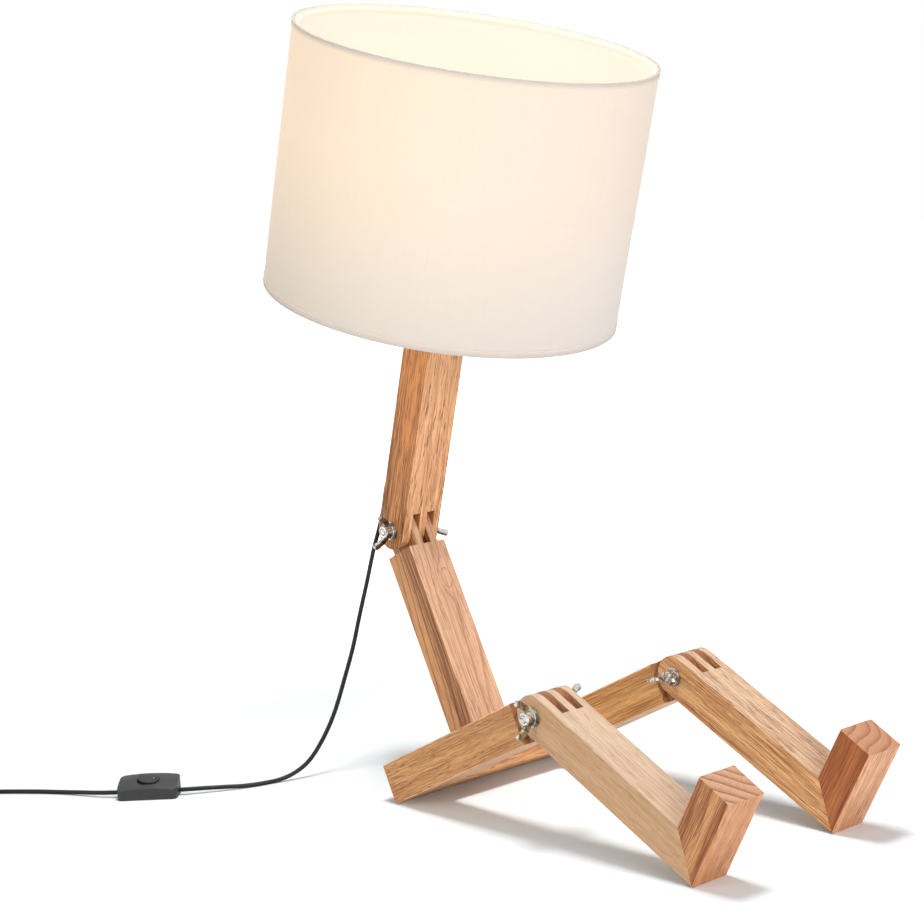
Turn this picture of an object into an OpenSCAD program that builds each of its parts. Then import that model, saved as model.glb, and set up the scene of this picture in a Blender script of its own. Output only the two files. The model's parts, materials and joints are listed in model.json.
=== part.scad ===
// Articulated desk lamp made of planed wooden bars, sitting with bent knees.
// X points forward to the feet, Y across the lamp, Z up. The lamp stands on z = 0.
// Names say right for the -Y side and left for the +Y side. All sizes are millimetres.

/* [Wooden bars] */
// Width of the leg bars, across the lamp
leg_w = 30; // [24:1:36]
// Width of the torso bars, across the lamp
torso_w = 32; // [26:1:36]
// Thickness of every bar in the plane in which it swings
bar_t = 27; // [22:1:32]
// Chamfer that eases the long edges of the bars
edge_ease = 0.7; // [0.3:0.1:1.5]

/* [Hip and thighs] */
// Length of the crossbar, which is the gap between the two thighs
leg_gap = 96; // [70:1:130]
// Width of the crossbar along the thighs
crossbar_w = 30; // [26:1:40]
// Length of a thigh from its knee pivot to its square rear end
thigh_len = 160; // [130:1:200]
// Angle at which the thighs rise to the knees
thigh_rise = 25.5; // [15:0.5:35]

/* [Shins and feet] */
// Length of a shin from its knee pivot to the heel
shin_len = 150; // [130:1:180]
// Length of the front of a foot, from the heel to the toe
foot_len = 63; // [50:1:80]
// Thickness of a foot
foot_t = 25.5; // [20:0.5:30]
// Angle between the shin and the foot
foot_angle = 87.5; // [80:0.5:100]

/* [Torso] */
// Distance of the torso's axis from the rear end of the thighs
torso_set = 15.5; // [14:0.5:20]
// Height of the waist pivot above the centre line of the thighs
waist_h = 167; // [140:1:190]
// Forward lean of the upper torso from the vertical
lean = 17; // [0:1:30]
// Length of the upper torso from the waist pivot to its top
upper_len = 160; // [140:1:163]

/* [Pinned joints] */
// Diameter of the joint screws
screw_d = 5; // [4:0.5:6]
// Gap between a rounded finger and the slot's end
slot_relief = 3; // [2:0.5:5]
// Side gap between neighbouring fingers
finger_gap = 0.3; // [0.2:0.05:0.5]
// Diameter of the washers
washer_d = 13; // [11:0.5:15]
// Span of the wings from tip to tip
wing_span = 25; // [22:1:30]

/* [Shade] */
// Outer diameter of the shade
shade_d = 240; // [200:5:260]
// Height of the shade
shade_h = 175; // [150:5:200]
// Distance from the waist pivot to the shade's lower rim
shade_up = 167; // [165:1:180]

/* [Cord] */
// Diameter of the cord
cord_d = 3; // [2.5:0.1:3.4]
// Height above the waist pivot at which the cord leaves the torso
cord_exit = 35; // [32:1:50]

/* [Hidden] */

$fn = 64;
slack = 0.05;                      // radial running clearance of a pin in its bore
screw_r = screw_d / 2;
bore_r = screw_r + slack;
washer_t = 1;
hub_h = 6.5;                       // height of a wing nut's hub and of a wing screw's head
shoulder = bar_t / 2 + slot_relief;
dowel_r = 4;
foot_dowel_r = 3;

// --- Where the joints lie in the sitting pose -------------------------------------------
// A direction in the XZ plane, given by its angle above +X, and that direction turned left.
function along(a) = [cos(a), sin(a)];
function left_of(v) = [-v[1], v[0]];

thigh_dir = along(thigh_rise);
thigh_up = left_of(thigh_dir);
// The hip's lower rear edge touches the ground at x = 0 before the lamp is centred.
knee_raw = thigh_len * thigh_dir + bar_t / 2 * thigh_up;
// The shin slopes so that its heel also touches the ground.
shin_drop = asin(knee_raw[1] / norm([bar_t / 2, shin_len])) - atan2(bar_t / 2, shin_len);
heel_raw = knee_raw - bar_t / 2 * left_of(along(-shin_drop)) + shin_len * along(-shin_drop);
toe_raw = heel_raw + foot_len * along(foot_angle - shin_drop);
waist_raw = knee_raw - (thigh_len - torso_set) * thigh_dir + waist_h * thigh_up;
// The origin is under the middle of the lamp, between the toes and the shade's rear edge.
shade_rear = waist_raw[0] + shade_up * sin(lean) - shade_d / 2 * cos(lean);
mid_x = (toe_raw[0] + shade_rear) / 2;
knee = [knee_raw[0] - mid_x, knee_raw[1]];
waist = [waist_raw[0] - mid_x, waist_raw[1]];
leg_y = (leg_gap + leg_w) / 2;

// Frames that the pieces are drawn in: each puts its pivot at the origin.
// Thigh: +X forward to the knee, +Z out of its upper face.
module thigh_frame(y = 0) translate([knee[0], y, knee[1]]) rotate([0, -thigh_rise, 0]) children();
// Shin: +X down to the heel, +Z out of its upper face.
module shin_frame(y) translate([knee[0], y, knee[1]]) rotate([0, shin_drop, 0]) children();
// Lower torso: +Z up the bar, +X forward.
module lower_frame() translate([waist[0], 0, waist[1]]) rotate([0, -thigh_rise, 0]) children();
// Upper torso: +Z up the bar, +X forward.
module upper_frame() translate([waist[0], 0, waist[1]]) rotate([0, lean, 0]) children();

// --- Wooden bars ------------------------------------------------------------------------
// A side outline, drawn in XZ and sawn across the full width of the bar.
module across(w) rotate([90, 0, 0]) linear_extrude(w, center = true) children();

// The planed stock along X: a rectangle with its four long edges eased.
module stock(from, to, w, t) {
    y = w / 2;
    z = t / 2;
    e = edge_ease;
    translate([from, 0, 0]) rotate([90, 0, 90]) linear_extrude(to - from)
        polygon([[-y + e, -z], [y - e, -z], [y, -z + e], [y, z - e],
                 [y - e, z], [-y + e, z], [-y, z - e], [-y, -z + e]]);
}

// The comb joint cut into a bar that runs from its pivot at the origin towards +X.
// Five lanes share the width: the outer comb keeps lanes 0, 2 and 4, the inner one 1 and 3.
module comb_slots(w, outer) {
    lane = w / 5;
    for (i = outer ? [1, 3] : [0, 2, 4]) {
        low = i == 0 ? -w : -w / 2 + i * lane - finger_gap / 2;
        high = i == 4 ? w : -w / 2 + (i + 1) * lane + finger_gap / 2;
        translate([-bar_t, low, -bar_t]) cube([bar_t + shoulder, high - low, 2 * bar_t]);
    }
}

module pivot_bore(w) rotate([90, 0, 0]) cylinder(r = bore_r, h = w + 2, center = true);

// A bar with a rounded comb at the origin. Its far end is the 2D outline given as a child.
module combed_bar(w, reach, outer) difference() {
    intersection() {
        across(w) union() {
            circle(r = bar_t / 2);
            children();
        }
        stock(-bar_t, reach + bar_t, w, bar_t);
    }
    comb_slots(w, outer);
    pivot_bore(w);
}

module square_end(reach) translate([0, -bar_t / 2]) square([reach, bar_t]);

// --- Hip --------------------------------------------------------------------------------
hip_dowel_len = 30;
hip_dowel_deep = hip_dowel_len / 2 + 1;
hip_x = -thigh_len + crossbar_w / 2;                   // middle of the crossbar in the thigh frame
hip_dowel_x = [hip_x - 7, hip_x + 7];
torso_dowel_y = [-8, 8];
torso_foot = bar_t / 2;                                // top face of the crossbar
torso_x = -thigh_len + torso_set;

module hip_dowel_holes(deep) for (x = hip_dowel_x, s = [-1, 1])
    translate([x, s * leg_gap / 2, 0]) rotate([90, 0, 0])
        cylinder(r = dowel_r, h = 2 * deep, center = true);

module torso_dowel_holes(deep) for (y = torso_dowel_y)
    translate([torso_x, y, torso_foot]) cylinder(r = dowel_r, h = 2 * deep, center = true);

module hip_crossbar() color([0.86, 0.64, 0.43]) thigh_frame() difference() {
    translate([hip_x, 0, 0]) rotate([0, 0, 90])
        stock(-leg_gap / 2, leg_gap / 2, crossbar_w, bar_t);
    hip_dowel_holes(hip_dowel_deep);
    torso_dowel_holes(14.5);
}

module thigh(side) thigh_frame(side * leg_y) difference() {
    rotate([0, 180, 0]) combed_bar(leg_w, thigh_len, false) square_end(thigh_len);
    translate([0, -side * leg_y, 0]) hip_dowel_holes(hip_dowel_deep);
}
module right_thigh() color([0.78, 0.56, 0.35]) thigh(-1);
module left_thigh() color([0.76, 0.50, 0.27]) thigh(1);

module lower_torso() color([0.80, 0.56, 0.38]) difference() {
    lower_frame() rotate([0, 90, 0]) combed_bar(torso_w, waist_h, false) square_end(waist_h - torso_foot);
    thigh_frame() torso_dowel_holes(16.5);
}

module fluted_dowel(r, len, ease = 1) rotate_extrude()
    polygon([[0, -len / 2], [r - slack - ease, -len / 2], [r - slack, -len / 2 + ease],
             [r - slack, len / 2 - ease], [r - slack - ease, len / 2], [0, len / 2]]);

module hip_dowels() color([0.88, 0.74, 0.55]) thigh_frame() for (x = hip_dowel_x, s = [-1, 1])
    translate([x, s * leg_gap / 2, 0]) rotate([90, 0, 0]) fluted_dowel(dowel_r, hip_dowel_len);

module torso_dowels() color([0.88, 0.74, 0.55]) thigh_frame() for (y = torso_dowel_y)
    translate([torso_x, y, torso_foot + 1]) fluted_dowel(dowel_r, 29);

// --- Shins and feet ---------------------------------------------------------------------
// The foot is mitred to the shin along a seam from the heel to the inner corner.
heel = [shin_len, -bar_t / 2];
foot_dir = along(foot_angle);
foot_back = left_of(foot_dir);
rise = (bar_t - foot_t * foot_back[1]) / foot_dir[1];
mitre_in = heel + foot_t * foot_back + rise * foot_dir;
mitre_mid = (heel + mitre_in) / 2;
mitre_tilt = atan2(mitre_in[1] - heel[1], mitre_in[0] - heel[0]);
foot_dowel_y = [-8, 8];

// The dowels cross the mitre at a right angle.
module across_mitre() for (y = foot_dowel_y)
    translate([mitre_mid[0], y, mitre_mid[1]]) rotate([0, -mitre_tilt, 0]) children();

module shin(side) shin_frame(side * leg_y) difference() {
    combed_bar(leg_w, shin_len, true)
        polygon([[0, -bar_t / 2], heel, mitre_in, [0, bar_t / 2]]);
    across_mitre() cylinder(r = foot_dowel_r, h = 24, center = true);
}
module right_shin() color([0.88, 0.70, 0.50]) shin(-1);
module left_shin() color([0.86, 0.67, 0.46]) shin(1);

module foot(side) shin_frame(side * leg_y) difference() {
    intersection() {
        across(leg_w) polygon([heel, heel + foot_len * foot_dir,
                               heel + foot_len * foot_dir + foot_t * foot_back, mitre_in]);
        translate([heel[0], 0, heel[1]]) rotate([0, -foot_angle, 0])
            translate([0, 0, foot_t / 2]) stock(-bar_t, foot_len, leg_w, foot_t);
    }
    across_mitre() cylinder(r = foot_dowel_r, h = 24, center = true);
}
module right_foot() color([0.85, 0.60, 0.42]) foot(-1);
module left_foot() color([0.80, 0.52, 0.34]) foot(1);

module foot_dowels(side) color([0.88, 0.74, 0.55]) shin_frame(side * leg_y)
    across_mitre() fluted_dowel(foot_dowel_r, 22);
module right_foot_dowels() foot_dowels(-1);
module left_foot_dowels() foot_dowels(1);

// --- Wing screws, wing nuts and washers -------------------------------------------------
// A pair of flat wings that flare away from the base, in the XZ plane with the base at z = 0.
wing_t = 2.4;
tip_r = 2.2;
module wings() rotate([90, 0, 0]) linear_extrude(wing_t, center = true) {
    r = wing_span / 2;
    for (s = [-1, 1]) scale([s, 1]) {
        polygon([[2.9, 1], [5.8, 1.6], [8.6, 3.9], [r - 1, 8], [r, 10.2], [r - tip_r, 12.4], [r - 3.9, 11.6],
                 [7.2, 8], [5.4, 6.2], [2.9, 5.4]]);
        translate([r - tip_r, 10.2]) circle(r = tip_r);
    }
}

// The tapered hub with a rounded base flange.
module hub() rotate_extrude()
    polygon([[0, 0], [5.5, 0], [5.5, 1.1], [5.1, 1.5], [4.5, hub_h - 0.6], [3.9, hub_h], [0, hub_h]]);

// Stands what is drawn along +Z on one side face of a joint, wings turned by spin.
module on_side(w, side, spin) translate([0, side * (w / 2 + washer_t), 0])
    rotate([-side * 90, 0, 0]) rotate([0, 0, spin]) children();

module wing_nut(w, spin) color([0.80, 0.79, 0.76]) on_side(w, -1, spin) difference() {
    union() {
        hub();
        wings();
    }
    translate([0, 0, -1]) cylinder(r = bore_r, h = hub_h + 8);
}

// The shank reaches through both combs, the washers and the nut.
module wing_screw(w, spin) color([0.80, 0.79, 0.76]) {
    on_side(w, 1, spin) {
        hub();
        wings();
    }
    reach = w + 2 * washer_t + hub_h + 0.4;
    translate([0, w / 2 + washer_t, 0]) rotate([90, 0, 0]) rotate_extrude()
        polygon([[0, -1], [screw_r, -1], [screw_r, reach - 0.6], [screw_r - 0.6, reach], [0, reach]]);
}

module washers(w) color([0.72, 0.71, 0.69]) for (s = [-1, 1])
    translate([0, s * (w + washer_t) / 2, 0]) rotate([90, 0, 0]) difference() {
        cylinder(d = washer_d, h = washer_t, center = true);
        cylinder(r = bore_r, h = 2 * washer_t, center = true);
    }

module at_knee(side) translate([knee[0], side * leg_y, knee[1]]) children();
module at_waist() translate([waist[0], 0, waist[1]]) children();

module right_knee_screw() at_knee(-1) wing_screw(leg_w, 80);
module left_knee_screw() at_knee(1) wing_screw(leg_w, 35);
module waist_screw() at_waist() wing_screw(torso_w, 45);
module right_knee_wing_nut() at_knee(-1) wing_nut(leg_w, 90);
module left_knee_wing_nut() at_knee(1) wing_nut(leg_w, 8);
module waist_wing_nut() at_waist() wing_nut(torso_w, 73);
module right_knee_washers() at_knee(-1) washers(leg_w);
module left_knee_washers() at_knee(1) washers(leg_w);
module waist_washers() at_waist() washers(torso_w);

// --- Upper torso ------------------------------------------------------------------------
duct_r = 3.5;                      // bore that carries the cord down the bar
nipple_r = 5;
nipple_deep = 12;
bend_r = 5;                        // bend of the cord from the duct to its way out
grommet_t = 3;                     // height of the grommet's collar on the rear face

module upper_torso() color([0.80, 0.58, 0.40]) upper_frame() difference() {
    rotate([0, -90, 0]) combed_bar(torso_w, upper_len, true) square_end(upper_len);
    translate([0, 0, cord_exit]) cylinder(r = duct_r, h = upper_len);
    translate([0, 0, cord_exit]) rotate([0, -90, 0]) cylinder(r = duct_r, h = bar_t);
    translate([0, 0, cord_exit]) sphere(r = duct_r);
    translate([0, 0, upper_len - nipple_deep]) cylinder(r = nipple_r, h = nipple_deep + 1);
}

module cord_grommet() color([0.08, 0.08, 0.08]) upper_frame()
    translate([-bar_t / 2, 0, cord_exit]) rotate([0, -90, 0]) rotate_extrude()
        polygon([[cord_d / 2 + slack, -5], [duct_r - slack, -5], [duct_r - slack, 0], [5.5, 0],
                 [5.5, 1.2], [4.6, 2.2], [3.2, grommet_t], [cord_d / 2 + slack, grommet_t]]);

// The cord inside the bar, from the terminal block to the grommet's outer face.
block_z = upper_len + 8;
module torso_cord() color([0.08, 0.08, 0.08]) upper_frame() {
    r = cord_d / 2;
    translate([0, 0, cord_exit + bend_r]) cylinder(r = r, h = block_z - cord_exit - bend_r);
    translate([-bend_r, 0, cord_exit + bend_r]) rotate([-90, 0, 0])
        rotate_extrude(angle = 90) translate([bend_r, 0]) circle(r = r, $fn = 32);
    translate([-bend_r, 0, cord_exit]) rotate([0, -90, 0])
        cylinder(r = r, h = bar_t / 2 + grommet_t - bend_r);
}

// --- Lamp holder, bulb and shade --------------------------------------------------------
// Heights along the upper torso, counted from its top face.
cap_h = 17;
sleeve_top = cap_h + 30;
flange_z = cap_h + 8;
flange_t = 2;
ring_z = flange_z + flange_t;      // seat of the spider's ring
ring_t = 1.2;
sleeve_r = 19.2;

module at_top() upper_frame() translate([0, 0, upper_len]) children();

module holder_nipple() color([0.75, 0.68, 0.42]) at_top()
    translate([0, 0, -nipple_deep]) difference() {
        cylinder(r = nipple_r - slack, h = nipple_deep + 6.5);
        translate([0, 0, -1]) cylinder(r = nipple_r - 1.6, h = nipple_deep + 9);
    }

module nipple_nut() color([0.75, 0.68, 0.42]) at_top() translate([0, 0, 2.4]) difference() {
    cylinder(r = 8, h = 3, $fn = 6);
    translate([0, 0, -1]) cylinder(r = nipple_r, h = 5);
}

// The domed cap that screws on to the sleeve from below.
module holder_cap() color([0.93, 0.92, 0.89]) at_top() rotate_extrude()
    polygon([[nipple_r + slack, 0], [12, 0], [14.5, 1.2], [17.6, 5.5], [19.4, 11], [20.2, cap_h],
             [18.4, cap_h], [17.6, 11.5], [15.9, 6.6], [13.2, 3.2], [11.5, 2.4], [nipple_r + slack, 2.4]]);

module holder_sleeve() color([0.93, 0.92, 0.89]) at_top() rotate_extrude()
    polygon([[16, cap_h], [20.2, cap_h], [20.8, cap_h + 1.5], [20.8, flange_z - 1.5], [23, flange_z],
             [23, ring_z], [sleeve_r, ring_z], [sleeve_r, sleeve_top - 1], [sleeve_r - 1, sleeve_top],
             [16, sleeve_top]]);

// The block of terminals, clamped between the cap and the sleeve.
module terminal_block() color([0.90, 0.88, 0.84]) at_top() rotate_extrude()
    polygon([[0, 8], [12.5, 8], [14, 9.5], [15.2, 12.5], [17.3, 13], [17.3, cap_h], [0, cap_h]]);

// The brass thread that the bulb screws into, with the centre contact on the block.
module socket_liner() color([0.80, 0.66, 0.32]) at_top() {
    rotate_extrude() polygon([[13.6, cap_h], [14.8, cap_h], [14.8, sleeve_top - 5],
                              [13.6, sleeve_top - 5]]);
    translate([0, 0, cap_h]) cylinder(r = 4, h = 2);
}

module bulb_cap() color([0.78, 0.76, 0.70]) at_top() rotate_extrude()
    polygon([[0, cap_h + 2], [4.5, cap_h + 2], [5, cap_h + 3.2], [9, cap_h + 5.5], [13.2, cap_h + 7.5],
             [13.2, cap_h + 26], [14.3, cap_h + 28], [0, cap_h + 28]]);

// Classic globe of thin glass: a neck that swells into a 60 mm ball.
globe_z = cap_h + 28;
glass_t = 0.9;
module globe_profile(t) intersection() {
    translate([0, globe_z - 1]) square([40, 100]);
    union() {
        translate([0, globe_z + 50]) circle(r = 30 - t);
        polygon([[0, globe_z - t], [14.5 - t, globe_z - t], [15.2 - t, globe_z + 6],
                 [17.5 - t, globe_z + 14], [21.5 - t, globe_z + 23.5], [26 - t, globe_z + 35],
                 [0, globe_z + 40]]);
    }
}
module bulb_globe() color([1.00, 0.95, 0.82]) at_top() rotate_extrude() difference() {
    globe_profile(0);
    globe_profile(glass_t);
}

// The ring nut that clamps the spider on the sleeve's flange.
module shade_clamp_ring() color([0.93, 0.92, 0.89]) at_top() rotate_extrude()
    polygon([[sleeve_r + slack, ring_z + ring_t], [28.5, ring_z + ring_t], [28.5, ring_z + ring_t + 3],
             [27.5, ring_z + ring_t + 4.5], [22, ring_z + 11], [sleeve_r + slack, ring_z + 11]]);

shade_r = shade_d / 2;
skin_t = 1.2;
tape_t = 0.4;
tape_h = 4.5;
wire_r = 1.5;
wire_ring_r = shade_r - tape_t - skin_t - tape_t - wire_r;
shade_low = shade_up - upper_len;          // lower rim, from the bar's top face
shade_high = shade_low + shade_h;
low_wire_z = shade_low + 3;

// Three arms are welded under the fitting ring, clear of the flange that it sits on,
// and drop to the lower wire of the shade.
arm_r = 1.3;
arm_in = 25.3;
arm_z = ring_z - arm_r + 0.5;
module shade_spider() color([0.90, 0.90, 0.88]) at_top() {
    translate([0, 0, ring_z]) difference() {
        cylinder(r = 27, h = ring_t);
        translate([0, 0, -1]) cylinder(r = sleeve_r + 0.2, h = ring_t + 2);
    }
    run = wire_ring_r - wire_r - arm_in;
    drop = arm_z - low_wire_z;
    for (a = [60, 180, 300]) rotate([0, 0, a]) translate([arm_in, 0, arm_z])
        rotate([0, 90 + atan2(drop, run), 0]) cylinder(r = arm_r, h = norm([run, drop]) + 0.3, $fn = 24);
}

module wire_ring(z) translate([0, 0, z]) rotate_extrude($fn = 128)
    translate([wire_ring_r, 0]) circle(r = wire_r, $fn = 24);
module shade_low_wire() color([0.90, 0.90, 0.88]) at_top() wire_ring(low_wire_z);
module shade_top_wire() color([0.90, 0.90, 0.88]) at_top() wire_ring(shade_high - 3);

// The skin is a stiff laminated cloth cylinder, open at the top and the bottom.
module shade_skin() color([0.98, 0.93, 0.85]) at_top() rotate_extrude($fn = 128)
    translate([shade_r - tape_t - skin_t, shade_low + tape_t]) square([skin_t, shade_h - 2 * tape_t]);

// Tape folded over each rim.
module rim_tape(z, up) rotate_extrude($fn = 128) difference() {
    translate([shade_r - 2 * tape_t - skin_t, up > 0 ? z - tape_h : z])
        square([skin_t + 2 * tape_t, tape_h]);
    translate([shade_r - tape_t - skin_t, up > 0 ? z - tape_h - 1 : z + tape_t])
        square([skin_t, tape_h + 1 - tape_t]);
}
module shade_rim_tapes() color([0.80, 0.77, 0.73]) at_top() {
    rim_tape(shade_low, -1);
    rim_tape(shade_high, 1);
}

// --- Cord -------------------------------------------------------------------------------
// The route's points lie on the cord's middle. On the floor that is a radius high.
floor_z = cord_d / 2 + 0.1;
way_out = [-cos(lean), 0, sin(lean)];
grommet_face = [waist[0], 0, waist[1]] + cord_exit * [sin(lean), 0, cos(lean)]
    + (bar_t / 2 + grommet_t) * way_out;
drop_route = [grommet_face + 0.3 * way_out, grommet_face + 4 * way_out,
    [-161, -1, 208], [-164, -2, 203], [-165, -4, 196], [-164.5, -8, 182], [-164.5, -13, 169],
    [-165.5, -18.5, 154], [-167, -24.7, 133], [-169.4, -31.3, 110], [-171.6, -37.7, 87],
    [-174, -45, 66], [-176.3, -52, 47], [-178.6, -58.5, 33], [-181.5, -66.4, 20], [-184, -75, 10.4],
    [-187, -85, 4.6], [-190, -94, 2.1], [-192, -102, floor_z]];
switch_route = [[-192, -102, floor_z], [-195, -112, floor_z], [-199.3, -122, 2], [-205, -132, 2.7],
    [-211.3, -142.6, 3.3], [-217.3, -151.4, 3.6], [-222.2, -157.6, 3.6], [-226.9, -162.4, 3.6]];
coil_route = [[-246.5, -182.4, 3.6], [-251.3, -187.3, 3.6], [-258, -192.7, 3.4], [-267, -197.7, 2.9],
    [-280, -203.4, 2.2], [-293.6, -210.4, floor_z], [-306, -218.4, floor_z], [-318, -227.3, floor_z],
    [-329.6, -236.4, floor_z], [-340.6, -245.1, 1.9], [-350.5, -252.2, 2.1]];

// Catmull-Rom curve through a route, with n rings to each span.
function spline(p, i, t) = let (a = p[max(i - 1, 0)], b = p[i], c = p[i + 1],
        d = p[min(i + 2, len(p) - 1)])
    0.5 * (2 * b + (c - a) * t + (2 * a - 5 * b + 4 * c - d) * t * t
        + (3 * b - a - 3 * c + d) * t * t * t);
function curve(p, n) = concat([for (i = [0 : len(p) - 2], k = [0 : n - 1]) spline(p, i, k / n)],
    [p[len(p) - 1]]);
function unit(v) = v / norm(v);
function heading(p, i) = unit(p[min(i + 1, len(p) - 1)] - p[max(i - 1, 0)]);
// Direction of a ring's first corner, carried along the route without twist.
function corner(p, i) = let (d = heading(p, i))
    i == 0 ? unit(cross(d, [0, 0, 1])) : let (u = corner(p, i - 1)) unit(u - (u * d) * d);
// Each ring of n corners stands square to the cord.
function ring(c, u, d, r, n) = let (v = cross(u, d))
    [for (k = [0 : n - 1]) c + r * (cos(360 * k / n) * u + sin(360 * k / n) * v)];

// A closed tube along the points, capped flat at both ends.
module tube(p, r, n = 8) {
    m = len(p);
    polyhedron(points = [for (i = [0 : m - 1]) each ring(p[i], corner(p, i), heading(p, i), r, n)],
        faces = concat([[for (k = [n - 1 : -1 : 0]) k]],
            [for (i = [0 : m - 2], k = [0 : n - 1], half = [0, 1]) let (a = i * n + k,
                b = i * n + (k + 1) % n) half == 0 ? [a, b, b + n] : [a, b + n, a + n]],
            [[for (k = [0 : n - 1]) (m - 1) * n + k]]));
}

module cord_drop() color([0.08, 0.08, 0.08]) tube(curve(drop_route, 2), cord_d / 2);
module cord_to_switch() color([0.08, 0.08, 0.08]) tube(curve(switch_route, 2), cord_d / 2);
module cord_to_coil() color([0.08, 0.08, 0.08]) tube(curve(coil_route, 2), cord_d / 2);

// The rest of the cord is wound into a flat coil of two layers, held by a band of coated wire.
coil_r = 5.8 * cord_d;             // middle of the turns
coil_band = 6.5 * cord_d;
coil_h = 2 * cord_d;
coil_lift = 0.6;
coil_at = [-337, -272];
module cord_coil() color([0.10, 0.10, 0.10]) translate([coil_at[0], coil_at[1], coil_lift])
    rotate_extrude() translate([coil_r - coil_band / 2, 0]) square([coil_band, coil_h]);

module coil_tie() color([0.10, 0.10, 0.10]) translate([coil_at[0], coil_at[1], 0]) rotate([0, 0, 205])
    translate([coil_r, 0, 0]) rotate([90, 0, 0]) linear_extrude(5, center = true) difference() {
        translate([-coil_band / 2 - 0.9, 0]) square([coil_band + 1.8, coil_h + 2 * coil_lift]);
        translate([-coil_band / 2 - 0.4, 0.5]) square([coil_band + 0.8, coil_h + 2 * coil_lift - 1]);
    }

// --- Switch on the cord -----------------------------------------------------------------
switch_l = 41.5;
switch_w = 20;
switch_h = 12.1;                   // at the middle of its sloping top
seam_z = switch_route[len(switch_route) - 1][2];       // the shells part at the cord's middle
wall_t = 1.6;
// Its middle lies half way between the two ends of the cord that enter it.
switch_mid = (switch_route[len(switch_route) - 1] + coil_route[0]) / 2;
switch_run = switch_route[len(switch_route) - 1] - coil_route[0];
switch_turn = atan2(switch_run[1], switch_run[0]);
cord_in = norm([switch_run[0], switch_run[1]]) / 2;    // where the cord ends inside it
screw_at = [15, 6.2];

// The switch is drawn along X on the ground, +X towards the lamp.
module switch_frame() translate([switch_mid[0], switch_mid[1], 0]) rotate([0, 0, switch_turn]) children();

// Plan of the housing: a rectangle with rounded corners.
module switch_plan(grow = 0) {
    r = 3.5;
    x = switch_l / 2 - r;
    y = switch_w / 2 - r;
    square([2 * x, switch_w + 2 * grow], center = true);
    square([switch_l + 2 * grow, 2 * y], center = true);
    for (i = [-1, 1], j = [-1, 1]) translate([i * x, j * y]) circle(r = r + grow);
}

// The top is part of a barrel along X, crowned across, arched along its length and sloped
// towards the side from which the rocker is pressed.
crown_r = 45;
arch_r = 155;
slope = 14.5;
module sloped(h) translate([0, 0, h]) rotate([slope, 0, 0]) children();
module switch_barrel(inset = 0) sloped(switch_h) translate([0, 0, -crown_r]) rotate([0, 90, 0])
    rotate_extrude() intersection() {
        translate([crown_r - arch_r, 0]) circle(r = arch_r - inset, $fn = 256);
        translate([0, -switch_l]) square([crown_r, 2 * switch_l]);
    }

module cord_way() for (s = [0, 180]) rotate([0, 0, s]) translate([cord_in - 1, 0, seam_z])
    rotate([0, 90, 0]) cylinder(r = cord_d / 2 + 0.1, h = switch_l);

module at_switch_screws() for (s = [-1, 1]) translate([s * screw_at[0], s * screw_at[1], 0]) children();

module switch_base() color([0.27, 0.27, 0.27]) switch_frame() difference() {
    linear_extrude(seam_z) switch_plan();
    translate([0, 0, 1.4]) linear_extrude(seam_z) difference() {
        switch_plan(-wall_t);
        at_switch_screws() circle(r = 2.8);
    }
    at_switch_screws() translate([0, 0, -1]) cylinder(r = 1.25, h = switch_h);
    at_switch_screws() translate([0, 0, -1]) cylinder(r = 2.3, h = 2.1);
    cord_way();
}

rocker_l = 14.5;
rocker_w = 10;
rocker_gap = 0.6;
rocker_z = 9.1;                    // height of the rocker's pin
rocker_tilt = 7;
trunnion_r = 1;
trunnion_y = rocker_w / 2 + rocker_gap + 1.5;         // the pin ends inside the lugs
// A slot with round ends.
module round_slot(l, w) {
    square([l - w, w], center = true);
    for (s = [-1, 1]) translate([s * (l - w) / 2, 0]) circle(d = w);
}

// The cover has a lug on each side of its window that carries the rocker's pin.
module switch_cover() color([0.29, 0.29, 0.29]) switch_frame() {
    lug_in = rocker_w / 2 + rocker_gap;
    difference() {
        union() {
            difference() {
                intersection() {
                    translate([0, 0, seam_z]) linear_extrude(switch_h) switch_plan();
                    switch_barrel();
                }
                intersection() {
                    translate([0, 0, seam_z - 1]) linear_extrude(switch_h) difference() {
                        switch_plan(-wall_t);
                        at_switch_screws() circle(r = 2.8);
                    }
                    switch_barrel(wall_t);
                }
            }
            sloped(rocker_z) for (s = [-1, 1]) translate([-2.2, s > 0 ? lug_in : -lug_in - 1.8, -2.4])
                cube([4.4, 1.8, switch_h - rocker_z - wall_t / 2 + 2.4]);
        }
        sloped(rocker_z) {
            translate([0, 0, -6]) linear_extrude(20)
                round_slot(rocker_l + 2 * rocker_gap, rocker_w + 2 * rocker_gap);
            rotate([90, 0, 0]) cylinder(r = trunnion_r + slack, h = 2 * trunnion_y + 0.2, center = true);
        }
        at_switch_screws() cylinder(r = 1.2, h = 8);
        cord_way();
    }
}

// The rocker's top is a shallow V. The end with the round dish is pressed.
module switch_rocker() color([0.22, 0.22, 0.22]) switch_frame() sloped(rocker_z)
    rotate([0, rocker_tilt, 0]) {
        difference() {
            intersection() {
                linear_extrude(8) round_slot(rocker_l, rocker_w);
                rotate([90, 0, 0]) linear_extrude(rocker_w + 2, center = true)
                    polygon([[-8, 1], [-2.2, 0.2], [2.2, 0.2], [8, 1], [8, 4.4], [0, 3.5], [-8, 4.4]]);
            }
            translate([3.7, 0, 6.6]) sphere(r = 3.4);
        }
        rotate([90, 0, 0]) cylinder(r = 1.8, h = rocker_w, center = true);
        rotate([90, 0, 0]) cylinder(r = trunnion_r, h = 2 * trunnion_y, center = true);
    }

module switch_screws() color([0.7, 0.7, 0.7]) switch_frame() at_switch_screws()
    rotate_extrude() polygon([[0, 0.2], [2.2, 0.2], [2.2, 1.1], [1.2, 1.1], [1.2, 7.5], [0, 7.5]]);

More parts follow.
